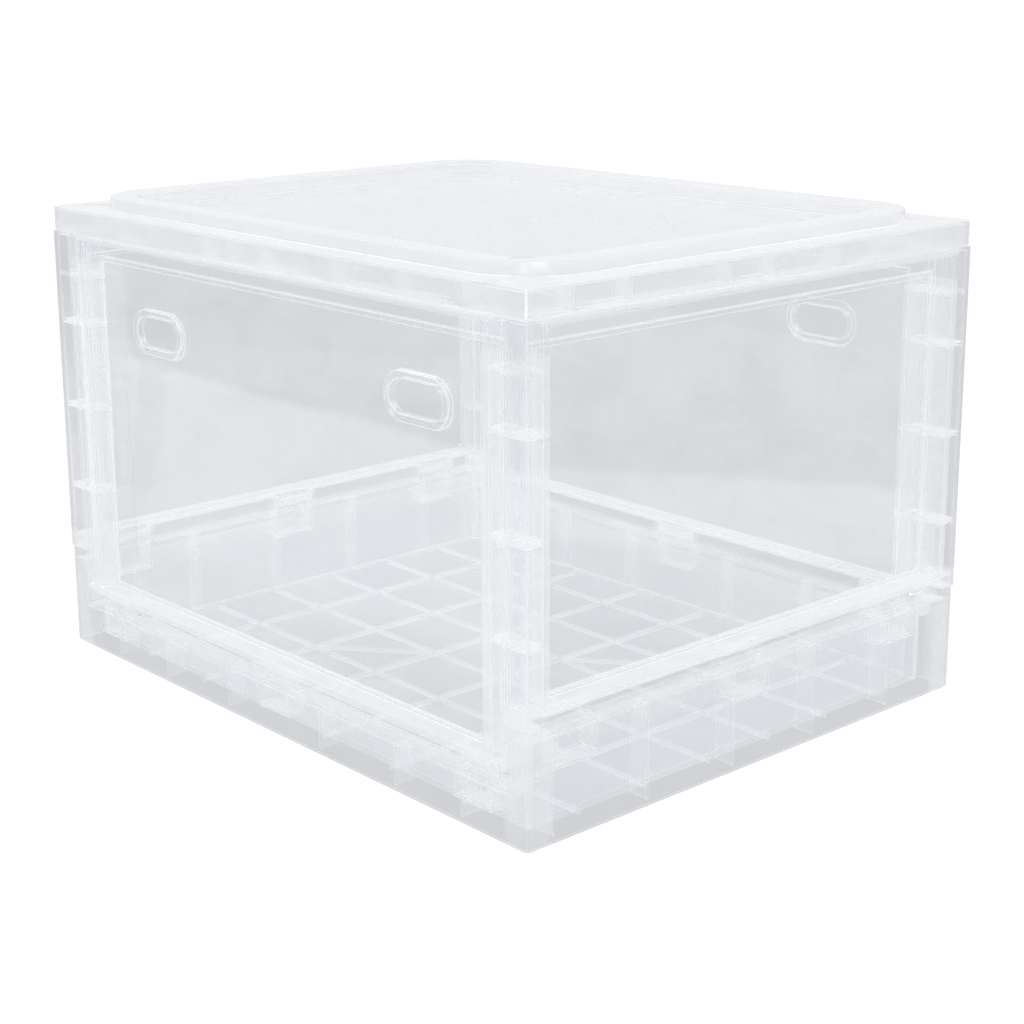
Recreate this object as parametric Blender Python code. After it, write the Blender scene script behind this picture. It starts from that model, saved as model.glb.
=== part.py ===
"""Collapsible clear storage box for shoes: tray, four window walls and a lid.

Frame: +Z up, origin on the floor under the middle of the tray.  The front
wall, a long side, faces -Y; the back wall faces +Y; the tall tray ends face
+X (right) and -X (left).  All lengths are in metres.
"""
import math
from typing import NamedTuple

import bmesh
import bpy
from mathutils import Matrix, Vector

# --------------------------------------------------------- shared dimensions
HALF_X = 0.2150
HALF_Y = 0.1714
SKIN = 0.0020            # moulded wall thickness
CORNER_R = 0.0030        # outer vertical corners
CORNER_SEGMENTS = 3
GAP = 0.0003             # play between neighbouring parts

# joints between solids
LAP = 0.0010             # wide overlap of joined solids
BITE = 0.0005            # narrow overlap of joined solids
SLIVER = 0.0001          # offset that keeps two faces out of one plane
OVERRUN = 0.01           # how far a cutter runs past the surface
DEEP_OVERRUN = 0.02

# ---------------------------------------------------------- tray dimensions
FLOOR_Z = 0.0040         # underside of the floor plate
FLOOR_T = 0.0020
GUTTER = 0.0135          # outer face to inner wall
TRAY_WALL_IN = GUTTER + SKIN   # outer face to the inside of the inner wall
LEDGE_FRONT = 0.0270     # under the front wall, which folds first
LEDGE_BACK = 0.0450      # under the back wall, which folds second
LEDGE_END = 0.0575       # under the two end walls, which fold last
LEDGE_T = 0.0022
CORNER_Z = 0.0628        # top of the four corner blocks
TRAY_INNER_R = 0.0120
TRAY_INNER_SEGMENTS = 6
SIDE_HOLLOW_EXTRA = 0.003  # side hollows run this far past the end inner walls

# ribs in the hollows under the ledges
GUTTER_RIB_T = 0.0015
END_RIBS = tuple(-0.1515 + 0.0660 * i for i in range(5))
SIDE_RIBS = (-0.1640, -0.1100, -0.0440, 0.0440, 0.1100, 0.1640)
END_RIB_FOOT = 0.0030
SIDE_RIB_FOOT = 0.0024

# rib grid under the floor; the three sets are staggered in height
FLOOR_COLS = (-0.1508, -0.0905, -0.0302, 0.0302, 0.0905, 0.1508)
FLOOR_ROWS = tuple(0.0490 * (i - 2.5) for i in range(6))
FLOOR_RIB_T = 0.0016
FLOOR_RIB_Z = 0.0012
COL_RIB_Z = (FLOOR_RIB_Z, FLOOR_Z + 0.0005)
ROW_RIB_Z = (FLOOR_RIB_Z + 0.0003, FLOOR_Z + 0.0006)
DIAGONAL_RIB_Z = (FLOOR_RIB_Z + 0.0006, FLOOR_Z + 0.0007)

# --------------------------------------------------------- hinge dimensions
SIDE_HINGES = (-0.1720, 0.0, 0.1720)
END_HINGES = (-0.1360, -0.0060, 0.1210)
PIN_R = 0.0020
PIN_SEGMENTS = 16

# ears on the tray that carry the pin
EAR_GAP = 0.0009
EAR_T = 0.0024
EAR_REACH = 0.0034       # pin axis to the edge of the ear

# knuckles under the wall that snap over the pin
KNUCKLE_HALF = 0.0135
KNUCKLE_R = 0.0036
KNUCKLE_SEGMENTS = 24
KNUCKLE_SETBACK = 0.0002  # round end to the wall's inner face, at least
BLOCK_HALF = 0.0030
BLOCK_SETBACK = 0.0004    # block to the wall's inner face, at least
BLOCK_LAP = 0.0008
BORE_R = 0.00238
BORE_SEGMENTS = 20
BORE_TURN = 0.11          # radians, keeps the bore's facets off the knuckle's
BORE_OVERRUN = 0.002
MOUTH_HALF = 0.0017       # slit that opens the bore downwards
MOUTH_DROP = 0.0080

# box ribs and opening in the ledge at each hinge
POCKET_HALF = 0.0140
POCKET_RIB_T = 0.0014
OPENING_HALF = 0.0100
OPENING_DEPTH = (0.0032, 0.0064)
OPENING_BELOW = 0.0060
OPENING_ABOVE = 0.0050

# ---------------------------------------------------------- wall dimensions
WALL_T = 0.0160          # outer face to inner face
INNER_PLATE = WALL_T - SKIN   # depth where the inner plates start
WALL_TOP = 0.2650
FLANGE_RISE = 0.0120     # ledge to the wall's bottom flange
SIDE_HALF = 0.1986       # half length of the front and back walls
SIDE_WEB = 0.1835        # window web of the front and back walls
END_WEB = 0.1563         # window web of the end walls
END_BORDER_HALF = 0.1608
PLATE_START = 0.0015     # web to the inner plate beside it

# border on the outer face, round the window
BORDER_T = 0.0018
BORDER_R = 0.0010
WINDOW_TOP = 0.2610
WINDOW_RISE = 0.0025     # flange to the lower window edge
WINDOW_R = 0.0050
WINDOW_SEGMENTS = 5

# members behind the border
BAND_Z = 0.2510          # lower edge of the band over the pane
LIP_IN = 0.0030          # pane rebate lip
LIP_T = 0.0014
RAIL_SETBACK = 0.0003    # outer face to the flange
CLOSING_T = 0.0016       # plates that close the ends of a wall
RIB_T = 0.0016
RIB_START = 0.0017       # web to rib
RIB_INSET = 0.0008       # side wall ribs: inset at the end and outer face
POST_RIBS = (0.1035, 0.1560, 0.2090)
STILE_RIBS = POST_RIBS + (0.2390,)

# posts at both ends of the end walls
POST_FOOT_Z = CORNER_Z + GAP
POST_INSET = 0.0002      # foot plate and ribs inside the outer faces
POST_STRIP = (0.0030, 0.0005)  # outer strip: edges measured in from HALF_Y
FOOT_START = 0.0004      # border to foot plate
FOOT_SETBACK = 0.0003    # inner face to foot plate

# panes, with two hand slots in the front and back ones
PANE_T = 0.0014
PANE_R = 0.0020
PANE_SEGMENTS = 3
SLOT_PLACES = (-0.1200, 0.1200)
SLOT_Z = 0.2110
SLOT_HALF_W = 0.0430 / 2
SLOT_HALF_H = 0.0180 / 2
SLOT_RIM = 0.0045
SLOT_BOSS = 0.0032
BOSS_SETBACK = 0.0003    # inner face of the boss to that of the pane
SLOT_SEGMENTS = 10
ROUND_SHARE = 0.995      # slot corner radius as a share of the half height

# ----------------------------------------------------------- lid dimensions
LID_Z0 = WALL_TOP + 0.0004
LID_TOP = 0.2798
SHELL_R = 0.0015
SHELL_SEGMENTS = 2
RING_TOP = 0.2870
RING_OUT = (0.1990, 0.1570)   # half sizes of the raised ring
RING_IN = (0.1834, 0.1418)
RING_OUT_R = 0.0400
RING_IN_R = 0.0250
RING_SEGMENTS = 10
RING_SINK = 0.004        # ring below the lid top
RING_WALL_SINK = 0.0038  # inner wall of the ring below the lid top
SEAT = 0.0060            # width of the panel seat
SEAT_SEGMENTS = 8
PANEL_T = 0.0016
PANEL_PLAY = 0.0004

# blocks between the skirts: start and end along the wall
LID_BLOCKS_X = ((-0.1430, -0.1090), (-0.0520, -0.0300), (0.0010, 0.0640),
                (0.1180, 0.1700))
LID_BLOCKS_Y = ((-0.1400, -0.1010), (-0.0300, 0.0020), (0.0560, 0.0960))
LID_RIB_T = 0.0014
LID_RIB_RISE = 0.0006
SKIRT_TOP_X = LID_TOP - 0.0010   # skirt plates that run along X
SKIRT_TOP_Y = LID_TOP - 0.0012   # skirt plates that run along Y
BLOCK_FLOOR_DEPTH = (SKIN - 0.0004, WALL_T - SKIN - 0.0025)
BLOCK_FLOOR_Z = (LID_Z0 + 0.0004, LID_Z0 + 0.0018)

# -------------------------------------------------------------- scene set-up
for old in list(bpy.data.objects):
    bpy.data.objects.remove(old, do_unlink=True)
for collection in list(bpy.data.collections):
    bpy.data.collections.remove(collection)

PARTS = bpy.data.collections.new("shoe_box")
CUTTERS = bpy.data.collections.new("shoe_box_cutters")
bpy.context.scene.collection.children.link(PARTS)
bpy.context.scene.collection.children.link(CUTTERS)


def principled(name, color, roughness, alpha):
    mat = bpy.data.materials.new(name)
    mat.use_nodes = True
    shader = mat.node_tree.nodes["Principled BSDF"]
    shader.inputs["Base Color"].default_value = (*color, 1.0)
    shader.inputs["Roughness"].default_value = roughness
    shader.inputs["Metallic"].default_value = 0.0
    shader.inputs["Alpha"].default_value = alpha
    mat.diffuse_color = (*color, 1.0)
    return mat


# ------------------------------------------------------------ solid builders
def add_solid(bm):
    """Turn a bmesh into an object, with its faces pointing outwards."""
    mesh = bpy.data.meshes.new("tool")
    bmesh.ops.recalc_face_normals(bm, faces=bm.faces)
    if bm.calc_volume(signed=True) < 0:
        bmesh.ops.reverse_faces(bm, faces=bm.faces)
    bm.to_mesh(mesh)
    bm.free()
    obj = bpy.data.objects.new("tool", mesh)
    CUTTERS.objects.link(obj)
    return obj


def cube_bm(a, b):
    """Box between any two opposite corners."""
    bm = bmesh.new()
    bmesh.ops.create_cube(bm, size=1.0)
    size = [abs(b[i] - a[i]) for i in range(3)]
    middle = [(a[i] + b[i]) / 2 for i in range(3)]
    for v in bm.verts:
        v.co = Vector([v.co[i] * size[i] + middle[i] for i in range(3)])
    return bm


def box(a, b):
    return add_solid(cube_bm(a, b))


def round_box(a, b, axis, radius, segments):
    """Box whose four edges along one axis are rounded."""
    bm = cube_bm(a, b)
    edges = [e for e in bm.edges
             if abs((e.verts[0].co - e.verts[1].co).normalized()[axis]) > 0.99]
    bmesh.ops.bevel(bm, geom=edges, offset=radius, segments=segments,
                    profile=0.5, affect='EDGES')
    return add_solid(bm)


def slab(half_x, half_y, z0, z1, radius, segments):
    """Box centred on the Z axis, with rounded vertical edges."""
    return round_box((-half_x, -half_y, z0), (half_x, half_y, z1), 2, radius, segments)


def beam(start, end, width, z_range):
    """Upright strip between two points of the floor plan."""
    dx, dy = end[0] - start[0], end[1] - start[1]
    length = math.hypot(dx, dy)
    bm = cube_bm((-length / 2, -width / 2, z_range[0]), (length / 2, width / 2, z_range[1]))
    bmesh.ops.rotate(bm, verts=bm.verts, cent=(0, 0, 0),
                     matrix=Matrix.Rotation(math.atan2(dy, dx), 3, 'Z'))
    bmesh.ops.translate(bm, verts=bm.verts,
                        vec=((start[0] + end[0]) / 2, (start[1] + end[1]) / 2, 0))
    return add_solid(bm)


def cylinder(a, b, radius, segments, turn=0.0):
    """Round bar from point a to point b, turned about its own axis."""
    a, b = Vector(a), Vector(b)
    bm = bmesh.new()
    bmesh.ops.create_cone(bm, cap_ends=True, segments=segments, radius1=radius,
                          radius2=radius, depth=(b - a).length)
    rotation = (b - a).to_track_quat('Z', 'Y').to_matrix().to_4x4()
    for v in bm.verts:
        x, y = v.co.x, v.co.y
        v.co.x = x * math.cos(turn) - y * math.sin(turn)
        v.co.y = x * math.sin(turn) + y * math.cos(turn)
        v.co = rotation @ v.co + (a + b) / 2
    return add_solid(bm)


def add_boolean(target, tool, name, operation):
    mod = target.modifiers.new(name, 'BOOLEAN')
    mod.operation = operation
    mod.solver = 'EXACT'
    mod.object = tool


def combine(target, tools, operation):
    """Union or cut one tool after another into the target's mesh."""
    for tool in tools:
        add_boolean(target, tool, "step", operation)
        bpy.context.view_layer.update()
        depsgraph = bpy.context.evaluated_depsgraph_get()
        mesh = bpy.data.meshes.new_from_object(target.evaluated_get(depsgraph))
        used_meshes = (target.data, tool.data)
        target.modifiers.clear()
        target.data = mesh
        bpy.data.objects.remove(tool, do_unlink=True)
        for used in used_meshes:
            bpy.data.meshes.remove(used)


def fuse(target, tools):
    combine(target, tools, 'UNION')


def cut(target, tools):
    combine(target, tools, 'DIFFERENCE')


def live_cut(target, tool, name):
    """A cut that stays as a modifier, with its cutter kept as a guide."""
    tool.name = name
    tool.hide_render = True
    tool.display_type = 'WIRE'
    add_boolean(target, tool, name, 'DIFFERENCE')


def finish_part(obj, name, mat):
    CUTTERS.objects.unlink(obj)
    PARTS.objects.link(obj)
    obj.name = name
    obj.data.name = name
    obj.data.materials.clear()
    obj.data.materials.append(mat)
    obj.data.shade_flat()
    return obj


# ---------------------------------------------------------- wall coordinates
class WallKind(NamedTuple):
    """What two opposite walls share."""
    axis: int            # world axis of the depth direction
    web: float           # half distance between the window webs
    window_half: float
    border_half: float
    border_drop: float   # border below the flange
    hinges: tuple        # hinge places along the wall
    pin_depth: float
    pin_rise: float      # ledge to pin axis


class Wall(NamedTuple):
    """A wall is drawn in its own coordinates: distance along the wall, depth
    inwards from the outer face, and z up."""
    kind: WallKind
    side: int            # +1 or -1 along the depth axis
    ledge: float
    pocket_z: float      # underside of the box ribs at the hinges

    @property
    def flange(self):
        return self.ledge + FLANGE_RISE

    @property
    def pin_z(self):
        return self.ledge + self.kind.pin_rise

    def point(self, along, depth, z):
        if self.kind.axis == 1:
            return (along, self.side * (HALF_Y - depth), z)
        return (self.side * (HALF_X - depth), along, z)

    def corners(self, along, depth, z):
        return [self.point(along[i], depth[i], z[i]) for i in (0, 1)]

    def box(self, along, depth, z):
        """Box from three (start, end) ranges."""
        return box(*self.corners(along, depth, z))

    def round_box(self, along, depth, z, radius, segments):
        """Box with the edges along the depth rounded."""
        return round_box(*self.corners(along, depth, z), self.kind.axis, radius, segments)

    def bar(self, start, end, radius, segments, turn=0.0):
        """Round bar on the pin axis."""
        ends = [self.point(u, self.kind.pin_depth, self.pin_z) for u in (start, end)]
        return cylinder(*ends, radius, segments, turn)


SIDE = WallKind(axis=1, web=SIDE_WEB, window_half=0.1825, border_half=0.1885,
                border_drop=0.0015, hinges=SIDE_HINGES, pin_depth=0.0104, pin_rise=0.0060)
END = WallKind(axis=0, web=END_WEB, window_half=END_WEB, border_half=END_BORDER_HALF,
               border_drop=0.0010, hinges=END_HINGES, pin_depth=0.0126, pin_rise=0.0070)
FRONT = Wall(SIDE, side=-1, ledge=LEDGE_FRONT, pocket_z=0.0120)
BACK = Wall(SIDE, side=1, ledge=LEDGE_BACK, pocket_z=0.0280)
RIGHT = Wall(END, side=1, ledge=LEDGE_END, pocket_z=0.0400)
LEFT = Wall(END, side=-1, ledge=LEDGE_END, pocket_z=0.0400)


# ---------------------------------------------------------------------- tray
GUTTER_SPAN = (SKIN - BITE, GUTTER + BITE)   # depth of ribs across the gutter


def tray_cutters():
    inside_x, inside_y = HALF_X - GUTTER - SKIN, HALF_Y - GUTTER - SKIN
    gutter_x, gutter_y = HALF_X - GUTTER, HALF_Y - GUTTER
    skin_x, skin_y = HALF_X - SKIN, HALF_Y - SKIN
    top = CORNER_Z + OVERRUN
    tools = [slab(inside_x, inside_y, FLOOR_Z + FLOOR_T, top,
                  TRAY_INNER_R, TRAY_INNER_SEGMENTS)]
    # hollows under the ledges, open at the bottom
    for s in (1, -1):
        tools.append(box((s * gutter_x, -skin_y, -OVERRUN),
                         (s * skin_x, skin_y, LEDGE_END - LEDGE_T)))
    hollow_x = gutter_x + SIDE_HOLLOW_EXTRA
    for wall in (FRONT, BACK):
        tools.append(box((-hollow_x, wall.side * gutter_y, -OVERRUN),
                         (hollow_x, wall.side * skin_y, wall.ledge - LEDGE_T)))
    # recess under the floor plate
    tools.append(box((-gutter_x - LAP, -gutter_y - LAP, -OVERRUN),
                     (gutter_x + LAP, gutter_y + LAP, FLOOR_Z)))
    # ledges cut down from the corner height
    notch_x = inside_x + GAP
    for wall in (FRONT, BACK):
        tools.append(box((-notch_x, wall.side * (HALF_Y + OVERRUN), wall.ledge),
                         (notch_x, wall.side * (inside_y - DEEP_OVERRUN), top)))
    for s in (1, -1):
        tools.append(box((s * (inside_x - DEEP_OVERRUN), -END_BORDER_HALF, LEDGE_END),
                         (s * (HALF_X + OVERRUN), END_BORDER_HALF, top)))
    return tools


def gutter_ribs():
    """Single ribs across the hollows under the ledges."""
    tools = []
    for walls, places, foot in (((RIGHT, LEFT), END_RIBS, END_RIB_FOOT),
                                ((FRONT, BACK), SIDE_RIBS, SIDE_RIB_FOOT)):
        for u in places:
            for wall in walls:
                tools.append(wall.box((u - GUTTER_RIB_T / 2, u + GUTTER_RIB_T / 2),
                                      GUTTER_SPAN, (foot, wall.ledge - LEDGE_T + BITE)))
    return tools


def floor_ribs():
    """Grid under the floor plate, with four diagonals."""
    end_x = HALF_X - GUTTER - BITE
    end_y = HALF_Y - GUTTER - BITE
    half = FLOOR_RIB_T / 2
    tools = [box((x - half, -end_y, COL_RIB_Z[0]), (x + half, end_y, COL_RIB_Z[1]))
             for x in FLOOR_COLS]
    tools += [box((-end_x, y - half, ROW_RIB_Z[0]), (end_x, y + half, ROW_RIB_Z[1]))
              for y in FLOOR_ROWS]
    # diagonals from the middle field of the grid out to the next crossings
    for sx in (-1, 1):
        for sy in (-1, 1):
            tools.append(beam((sx * FLOOR_COLS[3], sy * FLOOR_ROWS[3]),
                              (sx * FLOOR_COLS[4], sy * FLOOR_ROWS[4]),
                              FLOOR_RIB_T, DIAGONAL_RIB_Z))
    return tools


def hinge_pockets(wall):
    """Box ribs in the hollow under each hinge."""
    tools = []
    z0 = wall.pocket_z
    half = POCKET_RIB_T / 2
    for c in wall.kind.hinges:
        for s in (-1, 1):
            rib = c + s * POCKET_HALF
            tools.append(wall.box((rib - half, rib + half), GUTTER_SPAN, (z0, wall.ledge - LAP)))
        tools.append(wall.box((c - POCKET_HALF, c + POCKET_HALF), GUTTER_SPAN,
                              (z0, z0 + POCKET_RIB_T)))
    return tools


def hinge_ears(wall):
    """Two ears and the pin between them, at each hinge."""
    tools = []
    inner = KNUCKLE_HALF + EAR_GAP
    pin_depth = wall.kind.pin_depth
    depth = (pin_depth - EAR_REACH, min(pin_depth + EAR_REACH, TRAY_WALL_IN))
    for c in wall.kind.hinges:
        for s in (-1, 1):
            tools.append(wall.box((c + s * inner, c + s * (inner + EAR_T)), depth,
                                  (wall.ledge - LAP, wall.pin_z + EAR_REACH)))
        tools.append(wall.bar(c - inner - EAR_T / 2, c + inner + EAR_T / 2,
                              PIN_R, PIN_SEGMENTS))
    return tools


def ledge_openings(wall):
    return [wall.box((c - OPENING_HALF, c + OPENING_HALF), OPENING_DEPTH,
                     (wall.ledge - OPENING_BELOW, wall.ledge + OPENING_ABOVE))
            for c in wall.kind.hinges]


def build_tray(mat):
    tray = slab(HALF_X, HALF_Y, 0, CORNER_Z, CORNER_R, CORNER_SEGMENTS)
    cut(tray, tray_cutters())
    tools = gutter_ribs() + floor_ribs()
    for wall in (RIGHT, LEFT, FRONT, BACK):
        tools += hinge_pockets(wall)
    for wall in (FRONT, BACK, RIGHT, LEFT):
        tools += hinge_ears(wall)
    fuse(tray, tools)
    for wall in (RIGHT, LEFT, FRONT, BACK):
        cut(tray, ledge_openings(wall))
    return finish_part(tray, "base_tray", mat)


# --------------------------------------------------------------------- walls
def knuckles(wall):
    """Snap hooks under a wall: a block with a round end, bored for the pin."""
    adds, cuts = [], []
    pin_depth, pin_z = wall.kind.pin_depth, wall.pin_z
    block_depth = (pin_depth - BLOCK_HALF, min(pin_depth + BLOCK_HALF, WALL_T - BLOCK_SETBACK))
    round_r = min(KNUCKLE_R, WALL_T - KNUCKLE_SETBACK - pin_depth)
    for c in wall.kind.hinges:
        start, end = c - KNUCKLE_HALF, c + KNUCKLE_HALF
        adds.append(wall.box((start, end), block_depth, (pin_z, wall.flange + BLOCK_LAP)))
        adds.append(wall.bar(start, end, round_r, KNUCKLE_SEGMENTS))
        start, end = start - BORE_OVERRUN, end + BORE_OVERRUN
        cuts.append(wall.bar(start, end, BORE_R, BORE_SEGMENTS, BORE_TURN))
        cuts.append(wall.box((start, end), (pin_depth - MOUTH_HALF, pin_depth + MOUTH_HALF),
                             (pin_z - MOUTH_DROP, pin_z)))
    return adds, cuts


def window_border(wall):
    """Border on the outer face, with rounded window corners."""
    kind = wall.kind
    border = wall.round_box((-kind.border_half, kind.border_half), (0, BORDER_T),
                            (wall.flange - kind.border_drop, WALL_TOP), BORDER_R, 1)
    cut(border, [wall.round_box((-kind.window_half, kind.window_half), (-OVERRUN, OVERRUN),
                                (wall.flange + WINDOW_RISE, WINDOW_TOP),
                                WINDOW_R, WINDOW_SEGMENTS)])
    return border


def pane_rails(wall):
    """Band over the pane, and the rebate lips along its top and bottom."""
    along = (-wall.kind.web - LAP, wall.kind.web + LAP)
    return [
        wall.box(along, (INNER_PLATE, WALL_T), (BAND_Z, WALL_TOP - LAP)),
        wall.box(along, (INNER_PLATE - LIP_T, INNER_PLATE + SLIVER),
                 (BAND_Z - LIP_IN, WALL_TOP - LAP)),
        wall.box(along, (INNER_PLATE - LIP_T, INNER_PLATE),
                 (wall.flange + LAP, wall.flange + SKIN + LIP_IN)),
    ]


def upright_z(wall):
    return wall.flange + BITE, WALL_TOP - BITE


def window_web(wall, s):
    """Upright web beside the window; s is the end of the wall, -1 or 1."""
    web = wall.kind.web
    return wall.box((s * web, s * (web + SKIN)), (LAP, INNER_PLATE + SLIVER), upright_z(wall))


def upright_lip(wall, s):
    """Rebate lip along the pane's upright edge."""
    web = wall.kind.web
    return wall.box((s * (web - LIP_IN), s * (web + LAP)),
                    (INNER_PLATE - LIP_T, INNER_PLATE + SLIVER),
                    (wall.flange + LAP, WALL_TOP - LAP))


def inner_plate(wall, s, end, z_range):
    return wall.box((s * (wall.kind.web + PLATE_START), s * end),
                    (INNER_PLATE, WALL_T), z_range)


def end_ribs(wall, s, end, outer_depth, heights):
    """Level ribs between the web and the end of the wall."""
    return [wall.box((s * (wall.kind.web + RIB_START), s * end),
                     (outer_depth, WALL_T - LAP), (z - RIB_T / 2, z + RIB_T / 2))
            for z in heights]


def finish_frame(frame, wall, tools, name, mat):
    adds, cuts = knuckles(wall)
    fuse(frame, tools + adds)
    cut(frame, cuts)
    return finish_part(frame, name, mat)


def build_side_frame(name, wall, mat):
    """Frame of a front or back wall, which stands between the two end walls."""
    frame = window_border(wall)
    # bottom and top flanges over the whole thickness
    tools = [wall.box((-SIDE_HALF, SIDE_HALF), (RAIL_SETBACK, WALL_T), (z, z_top))
             for z, z_top in ((wall.flange, wall.flange + SKIN), (WALL_TOP - SKIN, WALL_TOP))]
    tools += pane_rails(wall)
    for s in (-1, 1):
        tools += [
            window_web(wall, s),
            inner_plate(wall, s, SIDE_HALF, upright_z(wall)),
            wall.box((s * (SIDE_HALF - CLOSING_T), s * SIDE_HALF),
                     (RAIL_SETBACK, WALL_T - BITE), upright_z(wall)),
            upright_lip(wall, s),
        ]
        tools += end_ribs(wall, s, SIDE_HALF - RIB_INSET, RIB_INSET, STILE_RIBS)
    return finish_frame(frame, wall, tools, name, mat)


def build_end_frame(name, wall, mat):
    """Full-width end wall with skeleton posts at both ends."""
    frame = window_border(wall)
    post_z = (POST_FOOT_Z, WALL_TOP - BITE)
    flange_half = HALF_Y - RAIL_SETBACK
    tools = [
        wall.box((-HALF_Y, HALF_Y), (0, WALL_T), (WALL_TOP - SKIN, WALL_TOP)),
        wall.box((-flange_half, flange_half), (RAIL_SETBACK, WALL_T),
                 (wall.flange, wall.flange + SKIN)),
    ]
    tools += pane_rails(wall)
    for s in (-1, 1):
        tools += [
            window_web(wall, s),
            inner_plate(wall, s, HALF_Y, post_z),
            upright_lip(wall, s),
            # side skin of the post, over the wall's whole thickness
            wall.box((s * (HALF_Y - CLOSING_T), s * HALF_Y), (0, WALL_T), post_z),
            # strip on the outer face, along the post's edge
            wall.box([s * (HALF_Y - inset) for inset in POST_STRIP], (0, CLOSING_T), post_z),
            # foot plate of the post
            wall.box((s * (END_BORDER_HALF + FOOT_START), s * (HALF_Y - POST_INSET)),
                     (POST_INSET, WALL_T - FOOT_SETBACK),
                     (POST_FOOT_Z, POST_FOOT_Z + CLOSING_T)),
        ]
        tools += end_ribs(wall, s, HALF_Y - POST_INSET, POST_INSET, POST_RIBS)
    return finish_frame(frame, wall, tools, name, mat)


def build_pane(name, wall, slots, mat):
    """Clear sheet held in the frame's rebate, with a rimmed slot at each place."""
    outer = INNER_PLATE + GAP + SLIVER
    inner = outer + PANE_T
    half = wall.kind.web + PLATE_START - GAP
    pane = wall.round_box((-half, half), (outer, inner),
                          (wall.flange + SKIN + GAP, BAND_Z - GAP), PANE_R, PANE_SEGMENTS)

    def slot_solid(place, rim, depth):
        half_w, half_h = SLOT_HALF_W + rim, SLOT_HALF_H + rim
        return wall.round_box((place - half_w, place + half_w), depth,
                              (SLOT_Z - half_h, SLOT_Z + half_h),
                              half_h * ROUND_SHARE, SLOT_SEGMENTS)

    fuse(pane, [slot_solid(place, SLOT_RIM, (outer - SLOT_BOSS, inner - BOSS_SETBACK))
                for place in slots])
    for number, place in enumerate(slots, start=1):
        hole = slot_solid(place, 0, (outer - DEEP_OVERRUN, outer + DEEP_OVERRUN))
        live_cut(pane, hole, f"{name}_slot_{number}")
    return finish_part(pane, name, mat)


# ----------------------------------------------------------------------- lid
def lid_skirt():
    """Four plates over the inner faces of the walls."""
    inner_x, inner_y = HALF_X - WALL_T, HALF_Y - WALL_T
    tools = []
    for s in (-1, 1):
        tools.append(box((-inner_x - BITE, s * inner_y, LID_Z0),
                         (inner_x + BITE, s * (inner_y + SKIN), SKIRT_TOP_X)))
        tools.append(box((s * inner_x, -inner_y - BITE, LID_Z0 + SLIVER),
                         (s * (inner_x + SKIN), inner_y + BITE, SKIRT_TOP_Y)))
    return tools


def lid_block(wall, start, end):
    """Two ribs between the skirts, joined by a plate at the bottom."""
    half = LID_RIB_T / 2
    tools = [wall.box((u - half, u + half), (SKIN - BITE, INNER_PLATE + BITE),
                      (LID_Z0 + LID_RIB_RISE, LID_TOP - LAP))
             for u in (start, end)]
    tools.append(wall.box((start, end), BLOCK_FLOOR_DEPTH, BLOCK_FLOOR_Z))
    return tools


def build_lid(mat):
    out_x, out_y = RING_OUT
    in_x, in_y = RING_IN
    lid = slab(HALF_X, HALF_Y, LID_Z0, LID_TOP, CORNER_R, CORNER_SEGMENTS)
    # raised ring
    fuse(lid, [slab(out_x, out_y, LID_TOP - RING_SINK, RING_TOP, RING_OUT_R, RING_SEGMENTS)])
    # hollow inside the outer skirt, open below, then the hollow under the ring
    cut(lid, [slab(HALF_X - SKIN, HALF_Y - SKIN, LID_Z0 - OVERRUN, LID_TOP - SKIN,
                   SHELL_R, SHELL_SEGMENTS),
              slab(out_x - SKIN, out_y - SKIN, LID_Z0, RING_TOP - SKIN,
                   RING_OUT_R - SKIN, RING_SEGMENTS)])
    # inner wall of the ring, the seat of the clear panel and the opening in it
    fuse(lid, [slab(in_x + SKIN, in_y + SKIN, LID_TOP - RING_WALL_SINK, RING_TOP - LAP,
                    RING_IN_R + SKIN, RING_SEGMENTS)])
    cut(lid, [slab(in_x, in_y, LID_TOP - SKIN, RING_TOP + OVERRUN, RING_IN_R, RING_SEGMENTS),
              slab(in_x - SEAT, in_y - SEAT, LID_Z0 - OVERRUN, LID_TOP,
                   RING_IN_R - SEAT, SEAT_SEGMENTS)])
    tools = lid_skirt()
    for walls, blocks in (((FRONT, BACK), LID_BLOCKS_X), ((RIGHT, LEFT), LID_BLOCKS_Y)):
        for start, end in blocks:
            for wall in walls:
                tools += lid_block(wall, start, end)
    fuse(lid, tools)
    return finish_part(lid, "lid_frame", mat)


def build_lid_panel(mat):
    z0 = LID_TOP - SKIN + GAP
    panel = slab(RING_IN[0] - PANEL_PLAY, RING_IN[1] - PANEL_PLAY, z0, z0 + PANEL_T,
                 RING_IN_R - PANEL_PLAY, RING_SEGMENTS)
    return finish_part(panel, "lid_panel", mat)


# ------------------------------------------------------------------ assembly
def add_empty(name, point):
    empty = bpy.data.objects.new(name, None)
    empty.empty_display_size = 0.03
    empty.location = point
    PARTS.objects.link(empty)
    return empty


def parent_to(obj, empty):
    """Hang a part on an empty without moving it in the world."""
    obj.parent = empty
    obj.matrix_parent_inverse.identity()
    obj.location = -Vector(empty.location)


frost = principled("frosted_pp", color=(0.86, 0.88, 0.90), roughness=0.42, alpha=0.55)
frost_lid = principled("frosted_lid_pp", color=(0.88, 0.90, 0.92), roughness=0.38, alpha=0.60)
clear = principled("clear_pane", color=(0.80, 0.83, 0.87), roughness=0.08, alpha=0.28)

build_tray(frost)

for label, wall in (("front", FRONT), ("back", BACK)):
    axis_empty = add_empty(f"{label}_wall_axis", wall.point(0, SIDE.pin_depth, wall.pin_z))
    parent_to(build_side_frame(f"{label}_wall_frame", wall, frost), axis_empty)
    parent_to(build_pane(f"{label}_wall_pane", wall, SLOT_PLACES, clear), axis_empty)

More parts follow.
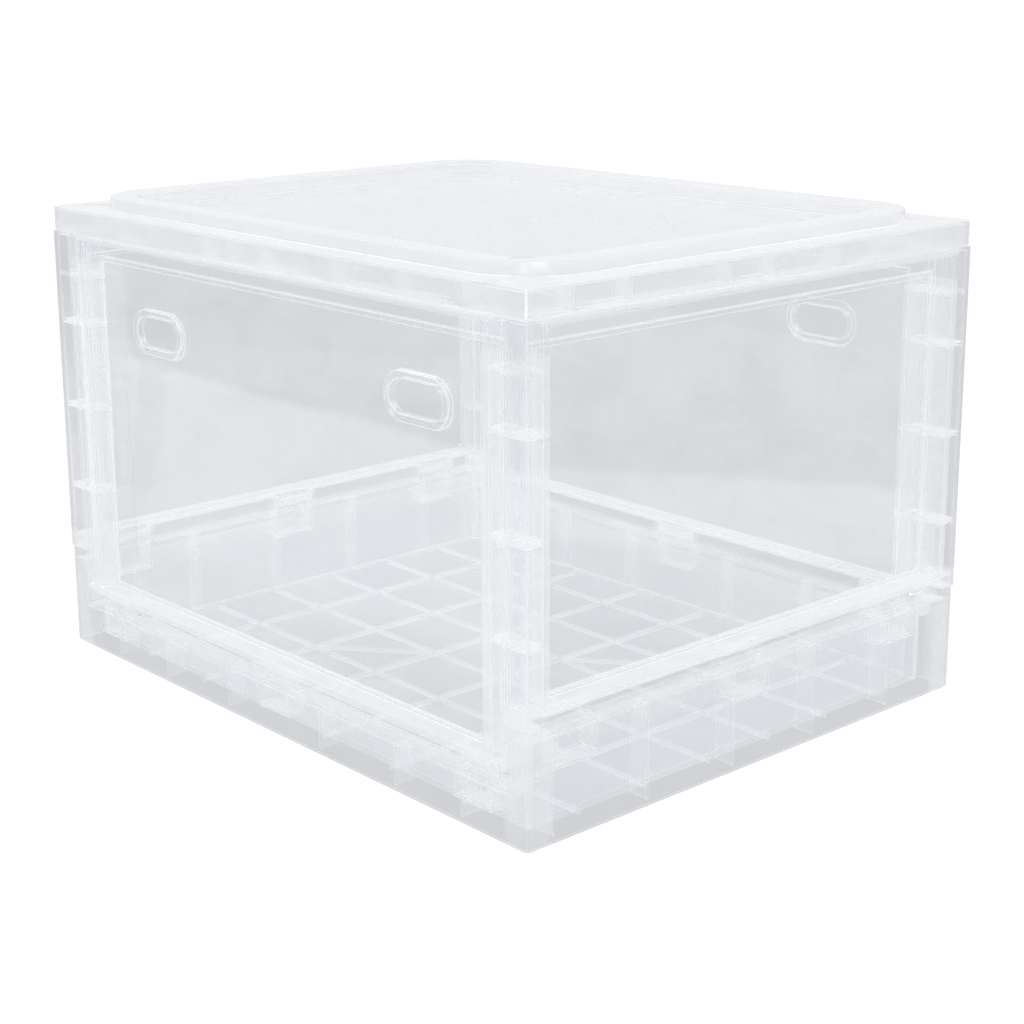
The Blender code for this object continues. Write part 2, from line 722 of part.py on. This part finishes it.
for label, wall in (("right", RIGHT), ("left", LEFT)):
    build_end_frame(f"{label}_wall_frame", wall, frost)
    build_pane(f"{label}_wall_pane", wall, (), clear)

lid_seat = add_empty("lid_seat", (0, 0, LID_Z0))
parent_to(build_lid(frost_lid), lid_seat)
parent_to(build_lid_panel(clear), lid_seat)
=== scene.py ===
"""A folding shoe box of clear and milky plastic: a base tray, four framed walls and a framed lid.

The box is centred on x = y = 0 and stands on z = 0. Its long sides face -y and +y, its ends
-x and +x. The pieces come from the CAD frame; this adds moulded edges, materials and the stage.
"""

import math

import bmesh
import bpy
from mathutils import Matrix, Vector


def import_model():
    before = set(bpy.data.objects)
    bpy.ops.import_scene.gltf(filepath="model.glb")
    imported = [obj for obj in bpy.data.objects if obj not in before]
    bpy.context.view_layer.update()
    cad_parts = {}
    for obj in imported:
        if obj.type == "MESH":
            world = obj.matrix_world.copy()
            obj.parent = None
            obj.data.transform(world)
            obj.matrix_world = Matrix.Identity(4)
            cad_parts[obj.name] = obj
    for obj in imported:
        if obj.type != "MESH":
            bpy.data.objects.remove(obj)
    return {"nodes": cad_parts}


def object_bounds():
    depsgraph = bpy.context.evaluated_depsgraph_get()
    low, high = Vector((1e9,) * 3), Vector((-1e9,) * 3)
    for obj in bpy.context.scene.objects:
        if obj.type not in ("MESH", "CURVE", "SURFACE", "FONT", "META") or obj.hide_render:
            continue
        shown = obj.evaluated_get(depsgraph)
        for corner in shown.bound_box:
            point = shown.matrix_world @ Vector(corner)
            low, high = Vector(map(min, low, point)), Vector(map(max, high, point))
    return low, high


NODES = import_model()["nodes"]
CAD_LO, CAD_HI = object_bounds()
HALF_X, HALF_Y = CAD_HI.x, CAD_HI.y

scene = bpy.context.scene
scene.view_settings.view_transform = "Standard"
scene.view_settings.look = "None"
# A line of sight crosses many clear sheets, so the transparent limit is high.
scene.cycles.transparent_max_bounces = 128
scene.cycles.max_bounces = 14
scene.cycles.diffuse_bounces = 1
scene.cycles.glossy_bounces = 12
scene.cycles.transmission_bounces = 2
scene.cycles.caustics_reflective = False
scene.cycles.caustics_refractive = False


# ---------------------------------------------------------------- node helper

class Tree:
    """Short calls for building a node tree. Any value may be a number or a socket to link."""

    def __init__(self, tree):
        self.tree = tree
        tree.nodes.clear()

    def put(self, socket, value):
        if isinstance(value, bpy.types.NodeSocket):
            self.tree.links.new(value, socket)
        elif isinstance(value, (int, float, str)):
            socket.default_value = value
        else:
            # a colour given as three numbers gets an alpha of 1
            value = tuple(value)
            missing = len(socket.default_value) - len(value)
            socket.default_value = value + (1.0,) * missing

    def node(self, kind, inputs=None, **settings):
        """inputs maps socket names or indices to values."""
        made = self.tree.nodes.new(kind)
        for key, value in settings.items():
            setattr(made, key, value)
        for key, value in (inputs or {}).items():
            self.put(made.inputs[key], value)
        return made

    def math(self, operation, *values, clamp=False):
        inputs = dict(enumerate(values))
        return self.node("ShaderNodeMath", inputs, operation=operation, use_clamp=clamp).outputs[0]

    def add(self, a, b):
        return self.math("ADD", a, b)

    def sub(self, a, b):
        return self.math("SUBTRACT", a, b)

    def mul(self, a, b):
        return self.math("MULTIPLY", a, b)

    def vector(self, operation, a, b):
        made = self.node("ShaderNodeVectorMath", {0: a, 1: b}, operation=operation)
        is_number = operation in ("DOT_PRODUCT", "DISTANCE")
        return made.outputs["Value" if is_number else "Vector"]

    def split(self, vector):
        """The x, y and z of a vector."""
        return self.node("ShaderNodeSeparateXYZ", {0: vector}).outputs

    def step(self, value, span, start=0.0, end=1.0):
        """A smooth ramp over the span (from, to), from start to end."""
        inputs = dict(enumerate((value, *span, start, end)))
        kind = "ShaderNodeMapRange"
        return self.node(kind, inputs, interpolation_type="SMOOTHSTEP").outputs[0]

    def fall(self, value, span):
        return self.step(value, span, start=1.0, end=0.0)

    def mix(self, factor, a, b):
        """A mix of two colours."""
        return self.node("ShaderNodeMix", {0: factor, 6: a, 7: b}, data_type="RGBA").outputs[2]

    def shade(self, factor, a, b):
        """A mix of two shaders."""
        return self.node("ShaderNodeMixShader", {0: factor, 1: a, 2: b}).outputs[0]

    def noise(self, vector, stretch, scale, detail, roughness):
        mapping = self.node("ShaderNodeMapping", {"Vector": vector, "Scale": stretch})
        inputs = {
            "Vector": mapping.outputs[0],
            "Scale": scale,
            "Detail": detail,
            "Roughness": roughness,
        }
        return self.node("ShaderNodeTexNoise", inputs).outputs["Fac"]

    def cool_gray(self, level):
        """A slightly blue gray of the given brightness."""
        gray = self.node("ShaderNodeCombineXYZ")
        for i, share in enumerate((1.0, 1.01, 1.03)):
            self.put(gray.inputs[i], self.mul(level, share))
        return gray.outputs[0]


# ---------------------------------------------------------------- plastic

PASSING = (0.985, 0.988, 0.994)  # colour of the light that passes straight through
# painted highlight: the near-white colour of the haze on the rounded edges
EDGE_HIGHLIGHT_TINT = (0.985, 0.988, 0.994)
FROSTED_TINT = (0.972, 0.976, 0.982)
TRAY_TINT = (0.945, 0.95, 0.962)
LID_TINT = (0.965, 0.97, 0.978)
PANE_TINT = (0.955, 0.96, 0.972)
SKIN_COLOUR = (0.98, 0.985, 1.0)  # of the mirroring skin
DARKER = 0.97  # tint of the darker clouds, as a share of the tint
LEAST_COSINE = 0.1  # limits how far a slanted view thickens the haze
HEAD_ON_MIRROR = 0.04  # mirrored share of light that meets the skin head on


def plastic(name, tint, density, mottle, roughness, ripple=None, shine=1.0):
    """Moulded polypropylene: see-through, hazier where it is seen at a slant, with a mirroring skin.

    density is the haze of one face seen head on, or a function that builds it from the place.
    mottle is how far clouds vary the haze. ripple is the (depth, noise scale) of waves in the skin.
    """
    material = bpy.data.materials.new(name)
    material.use_nodes = True
    t = Tree(material.node_tree)
    place = t.node("ShaderNodeTexCoord").outputs["Object"]
    geometry = t.node("ShaderNodeNewGeometry").outputs
    facing = t.vector("DOT_PRODUCT", geometry["Normal"], geometry["Incoming"])
    cosine = t.math("MAXIMUM", t.math("ABSOLUTE", facing), LEAST_COSINE)

    if callable(density):
        density = density(t, place)
    cloud = t.noise(place, stretch=(1.0, 1.0, 1.8), scale=22.0, detail=2.0, roughness=0.6)
    variation = t.step(cloud, (0.3, 0.7), start=1.0 - mottle, end=1.0 + mottle)
    thickness = t.mul(variation, density)
    # what a slanted path meets in the sheet: 1 - exp(-thickness / cosine)
    passed = t.math("EXPONENT", t.mul(t.math("DIVIDE", thickness, cosine), -1.0))
    haze = t.math("SUBTRACT", 1.0, passed, clamp=True)

    darker_tint = tuple(channel * DARKER for channel in tint)
    body_colour = t.mix(t.step(cloud, (0.35, 0.65)), tint, darker_tint)
    body = t.node("ShaderNodeBsdfDiffuse", {"Color": body_colour})
    see_through = t.node("ShaderNodeBsdfTransparent", {"Color": PASSING})
    inside = t.shade(haze, see_through.outputs[0], body.outputs[0])

    # the mirrored share by Schlick's rule, the same from both sides of a face
    rise = t.math("POWER", t.sub(1.0, cosine), 5.0)
    fresnel = t.add(t.mul(rise, 1.0 - HEAD_ON_MIRROR), HEAD_ON_MIRROR)
    mirrored = t.math("MULTIPLY", fresnel, shine, clamp=True)
    gloss = t.node("ShaderNodeBsdfGlossy", {"Color": SKIN_COLOUR, "Roughness": roughness})
    if ripple:
        depth, scale = ripple
        wave = t.noise(place, stretch=(1.0, 1.0, 1.35), scale=scale, detail=1.0, roughness=0.4)
        inputs = {"Strength": 1.0, "Distance": depth, "Height": wave}
        t.put(gloss.inputs["Normal"], t.node("ShaderNodeBump", inputs).outputs["Normal"])
    surface = t.shade(mirrored, inside, gloss.outputs[0])
    t.node("ShaderNodeOutputMaterial", {"Surface": surface})
    return material


def depths(t, place):
    """(depth below the nearest outer face, below the end faces, below the long faces, y, z)."""
    x, y, z = t.split(place)
    x_depth = t.sub(HALF_X, t.math("ABSOLUTE", x))
    y_depth = t.sub(HALF_Y, t.math("ABSOLUTE", y))
    return t.math("MINIMUM", x_depth, y_depth), x_depth, y_depth, y, z


# In the zones below, pairs are the (from, to) of a soft border, and haze values are densities.

def frame_zones(is_end):
    """Wall frames: frosted, but clear on the posts and the band over the pane, with milky ribs."""
    post_border = (0.0103, 0.0109) if is_end else (0.0261, 0.0267)
    post_bottom = (0.072, 0.076)
    band_bottom, band_top = (0.2472, 0.2476), (0.2612, 0.2616)
    rib_heights = (0.1035, 0.1560, 0.2090, 0.2390)
    rib_border = (0.0014, 0.0018)  # from a rib's middle height
    rib_depth = (0.0004, 0.0008)
    frosted_haze, clearing, rib_haze = 0.25, 0.20, 0.40

    def zones(t, place):
        depth, x_depth, y_depth, _, z = depths(t, place)
        post = t.fall(y_depth if is_end else x_depth, post_border)
        band = t.mul(t.step(z, band_bottom), t.fall(z, band_top))
        clear = t.math("MAXIMUM", t.mul(post, t.step(z, post_bottom)), band)
        ribs = 0.0
        for height in rib_heights:
            away = t.math("ABSOLUTE", t.sub(z, height))
            ribs = t.add(t.fall(away, rib_border), ribs)
        ribs = t.mul(ribs, t.step(depth, rib_depth))
        return t.add(t.sub(frosted_haze, t.mul(clear, clearing)), t.mul(ribs, rib_haze))
    return zones


def tray_zones(t, place):
    """Tray: clear outer skin, milky corners, inner walls that clear downwards, milky floor ribs."""
    skin_border, floor_border = (0.0025, 0.0035), (0.0170, 0.0180)
    corner_border = (0.0165, 0.0175)
    low_ledge, high_ledge, end_ledge = 0.027, 0.045, 0.0575  # tops at -y, at +y and at the ends
    ledge_border = (0.0026, 0.0034)  # below the ledge's top
    skin_haze, skin_corner_haze, inner_corner_haze = 0.050, 0.12, 0.30

    depth, x_depth, y_depth, y, z = depths(t, place)
    skin = t.fall(depth, skin_border)
    floor = t.step(depth, floor_border)
    long_ledge = t.step(y, (-0.01, 0.01), start=low_ledge, end=high_ledge)
    is_end = t.math("LESS_THAN", x_depth, y_depth)
    inputs = {0: is_end, 2: long_ledge, 3: end_ledge}
    ledge = t.node("ShaderNodeMix", inputs, data_type="FLOAT")
    below = t.sub(ledge.outputs[0], z)
    wall_haze = t.step(below, (0.0, 0.026), start=0.28, end=0.105)
    ledge_haze = t.step(below, (0.0, 0.0032), start=0.12, end=0.0)
    wall_haze = t.mul(wall_haze, t.step(below, ledge_border))
    milky = t.math("MAXIMUM", wall_haze, ledge_haze)
    corner = t.mul(t.fall(x_depth, corner_border), t.fall(y_depth, corner_border))
    milky = t.add(milky, t.mul(corner, inner_corner_haze))
    # the ribs under the clear floor
    floor_haze = t.step(z, (0.0036, 0.0041), start=0.45, end=0.006)
    inside = t.add(t.mul(floor, floor_haze), t.mul(t.sub(1.0, floor), milky))
    outside = t.add(skin_haze, t.mul(corner, skin_corner_haze))
    return t.add(t.mul(skin, outside), t.mul(t.sub(1.0, skin), inside))


def lid_zones(t, place):
    """Lid frame: milky, but clearer on the two skirts and on the inner face of the ring."""
    skirt_top = (0.2776, 0.2784)
    outer_skirt, inner_skirt = (0.0022, 0.0030), (0.0108, 0.0113)  # depths
    ring_x, ring_y = (0.1838, 0.1832), (0.1422, 0.1416)  # half sizes of the inner face
    ring_top = (0.2869, 0.2865)  # downwards
    milky_haze, outer_clearing, inner_clearing, ring_clearing = 0.38, 0.17, 0.24, 0.34

    depth, x_depth, y_depth, _, z = depths(t, place)
    low = t.fall(z, skirt_top)
    outer = t.mul(t.fall(depth, outer_skirt), low)
    inner = t.mul(t.step(depth, inner_skirt), low)
    level = t.sub(milky_haze, t.mul(outer, outer_clearing))
    level = t.sub(level, t.mul(inner, inner_clearing))
    within_x = t.step(x_depth, [HALF_X - x for x in ring_x])
    within_y = t.step(y_depth, [HALF_Y - y for y in ring_y])
    ring = t.mul(t.mul(within_x, within_y), t.step(z, ring_top))
    return t.sub(level, t.mul(ring, ring_clearing))


FROSTED = plastic("frosted_polypropylene", tint=FROSTED_TINT,
                  density=frame_zones(is_end=False), mottle=0.22, roughness=0.20)
FROSTED_END = plastic("frosted_polypropylene_ends", tint=FROSTED_TINT,
                      density=frame_zones(is_end=True), mottle=0.22, roughness=0.20)
# The edge materials go on the faces of the radii. Their dense white haze is a painted highlight for
# the light the edges catch. Their stronger mirror reflects the real glow.
FROSTED_EDGE_HIGHLIGHT = plastic("frosted_edge_highlight", tint=EDGE_HIGHLIGHT_TINT,
                       density=0.9, mottle=0.15, roughness=0.16, shine=2.2)
TRAY = plastic("tray_polypropylene", tint=TRAY_TINT, density=tray_zones,
               mottle=0.30, roughness=0.12, ripple=(0.0004, 40.0), shine=0.5)
TRAY_EDGE_HIGHLIGHT = plastic("tray_edge_highlight", tint=EDGE_HIGHLIGHT_TINT,
                    density=0.7, mottle=0.15, roughness=0.16, shine=2.0)
LID = plastic("milky_lid_polypropylene", tint=LID_TINT, density=lid_zones,
              mottle=0.16, roughness=0.18, ripple=(0.0003, 40.0))
LID_EDGE_HIGHLIGHT = plastic("lid_edge_highlight", tint=EDGE_HIGHLIGHT_TINT,
                   density=1.0, mottle=0.12, roughness=0.16, shine=2.0)
PANE = plastic("clear_pane_polypropylene", tint=PANE_TINT,
               density=0.104, mottle=0.40, roughness=0.03, ripple=(0.00028, 9.0))
LID_PANE = plastic("clear_lid_polypropylene", tint=PANE_TINT,
                   density=0.085, mottle=0.25, roughness=0.10)
PANE_EDGE_HIGHLIGHT = plastic("pane_edge_highlight", tint=EDGE_HIGHLIGHT_TINT,
                    density=1.3, mottle=0.2, roughness=0.12, shine=2.6)


# ---------------------------------------------------------------- moulded edges on the CAD pieces

WELD_GAP = 0.00001
FLAT_ANGLE = math.radians(0.6)  # faces that turn less are joined
SMOOTH_ANGLE = math.radians(22)  # edges that turn more are shaded crisp
BEVEL_ANGLE = math.radians(38)  # edges that turn more get a radius
FRAME_RADIUS = 0.00036
WALL_PANE_RADIUS = 0.0006
HOLLOW_RADIUS = 0.00018  # most in an inner corner
ROOM_SHARE = 0.48  # of the shortest crisp edge nearby that a radius may take


def geometry_group(name, build):
    """A geometry-nodes group with one geometry in and one out."""
    group = bpy.data.node_groups.new(name, "GeometryNodeTree")
    for direction in ("INPUT", "OUTPUT"):
        group.interface.new_socket(
            "Geometry", in_out=direction, socket_type="NodeSocketGeometry")
    t = Tree(group)
    start = t.node("NodeGroupInput")
    end = t.node("NodeGroupOutput")
    t.put(end.inputs[0], build(t, start.outputs[0]))
    return group


def plain_normals(t, geometry):
    """Drops the imported normals, which don't survive the later modifiers."""
    inputs = {"Geometry": geometry, "Name": "custom_normal"}
    return t.node("GeometryNodeRemoveAttribute", inputs).outputs[0]


def soft_curves(t, geometry):
    """Smooth shading over small turns, crisp over larger ones."""
    angle = t.node("GeometryNodeInputMeshEdgeAngle").outputs["Unsigned Angle"]
    smooth_edge = t.sub(1.0, t.math("GREATER_THAN", angle, SMOOTH_ANGLE))
    for domain, smooth in (("FACE", True), ("EDGE", smooth_edge)):
        inputs = {"Geometry": geometry, "Shade Smooth": smooth}
        geometry = t.node("GeometryNodeSetShadeSmooth", inputs, domain=domain).outputs[0]
    return geometry


def edge_room(radius):
    """Weighs the edges for the bevel: none on gentle turns, less in hollows and on small steps."""
    def build(t, geometry):
        ends = t.node("GeometryNodeInputMeshEdgeVertices").outputs
        gap = t.vector("DISTANCE", ends["Position 1"], ends["Position 2"])
        angle = t.node("GeometryNodeInputMeshEdgeAngle").outputs
        crisp = t.math("GREATER_THAN", angle["Unsigned Angle"], BEVEL_ANGLE)
        hollow = t.math("GREATER_THAN", angle["Signed Angle"], 0.0)
        most = t.sub(1.0, t.mul(hollow, 1.0 - HOLLOW_RADIUS / radius))
        # gentle edges count as a metre longer, so that the shortest is a crisp one
        length = t.add(gap, t.sub(1.0, crisp))
        index = t.node("GeometryNodeInputIndex").outputs[0]
        shortest = t.node("GeometryNodeEdgesOfVertex", {"Vertex Index": index, "Weights": length})

        def sample(domain, value, at):
            inputs = {"Value": value, "Index": at}
            kind = "GeometryNodeFieldAtIndex"
            return t.node(kind, inputs, domain=domain, data_type="FLOAT").outputs[0]

        around = sample("EDGE", length, shortest.outputs["Edge Index"])
        sides = [sample("POINT", around, ends[f"Vertex Index {i}"]) for i in (1, 2)]
        nearest = t.math("MINIMUM", *sides)
        room = t.math("MULTIPLY", nearest, ROOM_SHARE / radius, clamp=True)
        inputs = {
            "Geometry": geometry,
            "Name": "bevel_weight_edge",
            "Value": t.mul(t.math("MINIMUM", room, most), crisp),
        }
        kind = "GeometryNodeStoreNamedAttribute"
        return t.node(kind, inputs, domain="EDGE", data_type="FLOAT").outputs[0]
    return build


def inside_box(piece):
    """Keeps the radii inside the CAD piece's box: beside a shallow step they can reach past it."""
    axes = list(zip(*piece.bound_box))
    lo = [min(axis) for axis in axes]
    hi = [max(axis) for axis in axes]

    def build(t, geometry):
        position = t.node("GeometryNodeInputPosition").outputs[0]
        position = t.vector("MAXIMUM", position, lo)
        position = t.vector("MINIMUM", position, hi)
        inputs = {"Geometry": geometry, "Position": position}
        return t.node("GeometryNodeSetPosition", inputs).outputs[0]
    return build


PLAIN_NORMALS = geometry_group("plain_normals", plain_normals)
SOFT_CURVES = geometry_group("soft_curves", soft_curves)


def dress(name, skin, edge, radius=FRAME_RADIUS, fitted=True):
    """Gives a CAD piece its materials, joined flat faces and a small radius on its edges.

    fitted adapts the radius to the room at each edge.
    """
    piece = NODES[name]
    piece.data.materials.clear()
    piece.data.materials.append(skin)
    piece.data.materials.append(edge)

    def add_group(title, group):
        piece.modifiers.new(title, "NODES").node_group = group

    add_group("plain_normals", PLAIN_NORMALS)
    piece.modifiers.new("weld", "WELD").merge_threshold = WELD_GAP
    flat = piece.modifiers.new("flat_faces", "DECIMATE")
    flat.decimate_type = "DISSOLVE"
    flat.angle_limit = FLAT_ANGLE
    if fitted:
        # notched faces are cut up, so that a radius beside a notch can't upset their filling
        piece.modifiers.new("cut_up", "TRIANGULATE")
        add_group("edge_room", geometry_group("edge_room", edge_room(radius)))
    bevel = piece.modifiers.new("moulded_radius", "BEVEL")
    bevel.width = radius
    bevel.segments = 2
    bevel.limit_method = "WEIGHT" if fitted else "ANGLE"
    bevel.angle_limit = BEVEL_ANGLE
    bevel.use_clamp_overlap = False
    # the radius faces take the second material, whose white haze is partly a painted highlight
    bevel.material = 1
    bevel.miter_outer = "MITER_SHARP"
    bevel.harden_normals = False
    if fitted:
        add_group("inside_box", geometry_group("inside_box", inside_box(piece)))
    add_group("soft_curves", SOFT_CURVES)
    # light soaks through the thin plastic, so it shades neither its neighbours nor the floor
    piece.visible_shadow = False
    piece.visible_diffuse = False


dress("base_tray", TRAY, TRAY_EDGE_HIGHLIGHT)
for side, frame_skin in (
    ("front", FROSTED), ("back", FROSTED), ("right", FROSTED_END), ("left", FROSTED_END),
):
    dress(f"{side}_wall_frame", frame_skin, FROSTED_EDGE_HIGHLIGHT)
    dress(f"{side}_wall_pane", PANE, PANE_EDGE_HIGHLIGHT, radius=WALL_PANE_RADIUS, fitted=False)
dress("lid_frame", LID, LID_EDGE_HIGHLIGHT)
dress("lid_panel", LID_PANE, PANE_EDGE_HIGHLIGHT, fitted=False)


# ---------------------------------------------------------------- stage: floor, light, camera

BACKDROP = (1.06, 1.06, 1.06)  # seen directly
# painted shade: the backdrop and the floor seen through the plastic are drawn darker and bluer than
# in the open
BACKDROP_IN_PAINTED_SHADE = (0.61, 0.62, 0.64)  # seen through the plastic
WORLD_LIGHT = (0.93, 0.932, 0.938)  # sent to the matt surfaces
FLOOR_LIGHT = (0.87, 0.873, 0.882)
GLOW = 3.6  # extra brightness that only the mirroring skins see, in the world and on the floor


def ray_kinds(t):
    """(is a camera ray, came through the plastic, is a mirrored ray)."""
    path = t.node("ShaderNodeLightPath").outputs
    through = t.math("GREATER_THAN", path["Transparent Depth"], 0.5)
    return path["Is Camera Ray"], through, path["Is Glossy Ray"]


def ray_colour(t, rays, light, reflection):
    """The backdrop for the camera, darker with painted shade where it is seen through the plastic,
    reflection for mirrored rays and light for all others.
    """
    seen, through, mirrored = rays
    # painted shade where the camera looks through the plastic
    backdrop = t.mix(through, BACKDROP, BACKDROP_IN_PAINTED_SHADE)
    return t.mix(seen, t.mix(mirrored, light, reflection), backdrop)


def make_world():
    world = bpy.data.worlds.new("studio")
    scene.world = world
    world.use_nodes = True
    t = Tree(world.node_tree)
    rays = ray_kinds(t)
    direction = t.node("ShaderNodeTexCoord").outputs["Generated"]
    # the mirrored room is darker towards the camera's corner
    toward = t.vector("DOT_PRODUCT", direction, (0.75, -0.66, 0.0))
    level = t.step(toward, (-0.1, 0.35), start=0.85, end=0.52)
    # A high glow for rounded edges to mirror. It is left out towards the +x -y corner and
    # the one opposite, so that flat tops don't mirror it.
    x, y, z = t.split(direction)
    flat_length = t.math("SQRT", t.add(t.mul(x, x), t.mul(y, y)))
    diagonal = t.math("ABSOLUTE", t.sub(x, y))
    diagonal = t.math("DIVIDE", diagonal, t.math("MAXIMUM", flat_length, 0.01))
    high_glow = t.mul(t.fall(diagonal, (1.20, 1.30)), t.step(z, (0.50, 0.60)))
    level = t.add(level, t.mul(high_glow, GLOW))
    colour = ray_colour(t, rays, WORLD_LIGHT, t.cool_gray(level))
    background = t.node("ShaderNodeBackground", {"Color": colour})
    t.node("ShaderNodeOutputWorld", {"Surface": background.outputs[0]})


def floor_reflection(t):
    """The floor as the plastic mirrors it: bright bands on a darker ground, and a bright patch."""
    divide_y = -0.17  # the bands on either side of it are separate
    ground, brightening = 0.43, 0.88

    position = t.node("ShaderNodeNewGeometry").outputs["Position"]
    x, y, _ = t.split(position)
    near_start = t.step(y, (-0.67, -0.64))
    near = t.mul(near_start, t.step(y, (-0.33, -0.27), start=1.0, end=0.35))
    slanted = t.add(t.mul(x, 0.53), t.mul(y, 0.85))
    far_start = t.step(slanted, (0.46, 0.50), start=0.40, end=1.0)
    far = t.mul(far_start, t.step(slanted, (0.67, 0.71), start=1.0, end=0.15))
    near = t.mul(t.math("LESS_THAN", y, divide_y), near)
    lit = t.add(near, t.mul(t.math("GREATER_THAN", y, divide_y), far))
    level = t.add(t.mul(lit, brightening), ground)
    # the patch lies out from the +x -y corner, where only upright rounded edges mirror it
    outward = t.sub(t.mul(x, 0.75), t.mul(y, 0.66))
    aside = t.math("ABSOLUTE", t.add(t.mul(x, 0.66), t.mul(y, 0.75)))
    spread = t.math("DIVIDE", aside, t.math("MAXIMUM", outward, 0.1))
    patch = t.mul(t.step(outward, (0.9, 1.1)), t.fall(spread, (0.30, 0.45)))
    return t.cool_gray(t.add(level, t.mul(patch, GLOW)))


def make_floor():
    half_size, drop = 12.0, 0.0004
    shaded_share = 0.22  # of the directly seen floor that real light falls on

    bm = bmesh.new()
    bmesh.ops.create_grid(bm, x_segments=1, y_segments=1, size=half_size)
    mesh = bpy.data.meshes.new("floor")
    bm.to_mesh(mesh)
    bm.free()
    floor = bpy.data.objects.new("floor", mesh)
    floor.location.z = -drop
    scene.collection.objects.link(floor)

    material = bpy.data.materials.new("pale_floor")
    material.use_nodes = True
    t = Tree(material.node_tree)
    rays = ray_kinds(t)
    colour = ray_colour(t, rays, FLOOR_LIGHT, floor_reflection(t))
    glow = t.node("ShaderNodeEmission", {"Color": colour})
    matt = t.node("ShaderNodeBsdfDiffuse", {"Color": (0.95, 0.95, 0.95)})
    seen, through, _ = rays
    # seen through the plastic the floor gets no real light, only the painted shade of the backdrop
    # colour
    share = t.mul(seen, t.mul(t.sub(1.0, through), shaded_share))
    surface = t.shade(share, glow.outputs[0], matt.outputs[0])
    t.node("ShaderNodeOutputMaterial", {"Surface": surface})
    floor.data.materials.append(material)


def make_light():
    """A wide soft light over the box, aimed at its lower middle."""
    place, target = Vector((-0.25, 0.1, 1.6)), Vector((0, 0, 0.1))
    data = bpy.data.lights.new("soft_top", "AREA")
    data.shape = "RECTANGLE"
    data.size = 1.6
    data.size_y = 1.2
    data.energy = 1.2
    light = bpy.data.objects.new("soft_top", data)
    scene.collection.objects.link(light)
    light.location = place
    light.rotation_mode = "QUATERNION"
    light.rotation_quaternion = (target - place).to_track_quat("-Z", "Y")
    light.visible_glossy = False
    light.visible_camera = False


def make_camera():
    """The camera stands off the +x -y corner of the box, a little above the lid."""
    place = (0.87891, -0.77997, 0.43141)
    # turn left from +y, tilt down, and roll
    turn, tilt, roll = (math.radians(angle) for angle in (48.809, 14.015, -0.454))

    forward = Vector((
        -math.sin(turn) * math.cos(tilt),
        math.cos(turn) * math.cos(tilt),
        -math.sin(tilt),
    ))
    level = Vector((math.cos(turn), math.sin(turn), 0.0))
    up = level.cross(forward)
    right = level * math.cos(roll) + up * math.sin(roll)
    top = up * math.cos(roll) - level * math.sin(roll)
    data = bpy.data.cameras.new("camera")
    data.sensor_width = 36.0
    data.lens = 70.13
    data.shift_x = 0.0296
    data.shift_y = -0.0646
    data.clip_start = 0.02
    camera = bpy.data.objects.new("camera", data)
    scene.collection.objects.link(camera)
    rotation = Matrix((right, top, -forward)).transposed()
    camera.matrix_world = Matrix.Translation(place) @ rotation.to_4x4()
    scene.camera = camera


make_world()
make_floor()
make_light()
make_camera()
